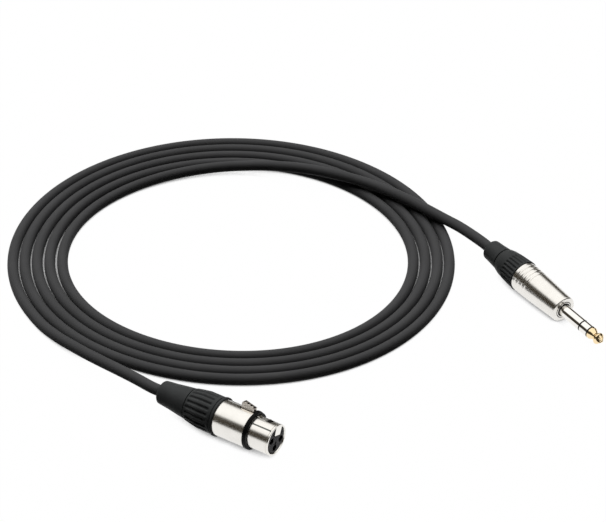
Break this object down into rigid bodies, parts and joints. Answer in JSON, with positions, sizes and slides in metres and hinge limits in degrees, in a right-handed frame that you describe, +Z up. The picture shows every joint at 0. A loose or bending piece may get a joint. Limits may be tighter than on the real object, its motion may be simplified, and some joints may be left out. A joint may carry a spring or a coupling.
{
  "type": "xlr cable coil",
  "caption": "Coiled microphone cable with a latching three-pole socket connector at one end and a three-contact jack at the other.",
  "frame": {"origin": "centre of the two connectors' common bounding box in plan, on the plane the object lies on", "axes": "+X from the socket connector toward the jack, +Y from the connectors over to the far side of the coil, +Z up out of the coil"},
  "size_m": [0.3086, 0.2844, 0.0225],
  "materials": {
    "jacket": "matte flexible jacket, soft sheen",
    "nickel_shell": "nickel plate over die-cast zinc, satin",
    "black_ring": "moulded black ring",
    "latch_steel": "nickel-plated steel",
    "spring_wire": "drawn spring wire",
    "insert_plastic": "dark grey contact block",
    "contact_brass": "plated brass, satin",
    "contact_nickel": "polished nickel plate over brass",
    "contact_gold": "gold-coloured plate over brass",
    "insulator_black": "black insulating plastic",
    "washer_fibre": "insulating washer",
    "tag_tin": "tinned brass strip",
    "core_bare": "twisted bare copper drain",
    "core_red": "insulated core",
    "core_white": "insulated core",
    "chuck_plastic": "moulded collet",
    "boot_black": "moulded black bushing and sleeve, soft sheen"
  },
  "bodies": {
    "root": {"cable_coil": "jacket", "cable_tail_xlr": "jacket", "cable_tail_jack": "jacket", "cable_end_xlr": "jacket", "cable_end_jack": "jacket", "xlr_shell": "nickel_shell", "xlr_ring": "black_ring", "xlr_latch_pin": "latch_steel", "xlr_latch_spring": "spring_wire", "xlr_insert": "insert_plastic", "xlr_socket_shield": "contact_brass", "xlr_socket_hot": "contact_brass", "xlr_socket_cold": "contact_brass", "xlr_core_shield": "core_bare", "xlr_core_hot": "core_red", "xlr_core_cold": "core_white", "xlr_chuck": "chuck_plastic", "xlr_bushing": "boot_black", "xlr_boot": "boot_black", "jack_shell": "nickel_shell", "jack_sleeve_contact": "contact_nickel", "jack_ring_contact": "contact_nickel", "jack_tip_contact": "contact_gold", "jack_insulator_outer": "insulator_black", "jack_insulator_inner": "insulator_black", "jack_washers": "washer_fibre", "jack_tag_ground": "tag_tin", "jack_tag_ring": "tag_tin", "jack_tag_tip": "tag_tin", "jack_core_shield": "core_bare", "jack_core_hot": "core_red", "jack_core_cold": "core_white", "jack_chuck": "chuck_plastic", "jack_bushing": "boot_black", "jack_boot": "boot_black"},
    "latch": {"xlr_latch": "latch_steel"}
  },
  "joints": [
    {"name": "latch_press", "type": "hinge", "parent": "root", "child": "latch", "pos_m": [-0.0744, -0.06049, 0.01584], "axis": [0.5144, 0.7714, -0.3746], "range_deg": [0, 4], "stiffness_Nm_per_rad": 0.5, "springref_deg": -3.44, "deforming": ["xlr_latch_spring"]}
  ]
}
